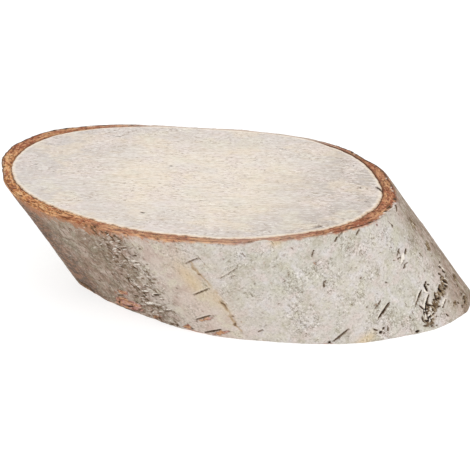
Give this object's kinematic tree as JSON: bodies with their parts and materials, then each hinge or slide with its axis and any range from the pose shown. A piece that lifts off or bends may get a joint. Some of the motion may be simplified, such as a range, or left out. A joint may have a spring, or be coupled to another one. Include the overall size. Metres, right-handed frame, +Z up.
{
  "type": "birch wood slice",
  "caption": "Thick slanting slice of a birch log with bark on, its two level cut faces parallel, used as a stand, riser or rustic base.",
  "frame": {"origin": "on the surface it stands on, under the middle of the whole slice's bounding box", "axes": "+Z up, square to the two cut faces; +X along the length of the cut faces, towards the end that the lower face reaches out to"},
  "size_m": [0.171, 0.1264, 0.04],
  "materials": {
    "birch": "sawn wood faces inside a rough matt bark"
  },
  "bodies": {
    "root": {"birch_slice": "birch"}
  },
  "joints": []
}
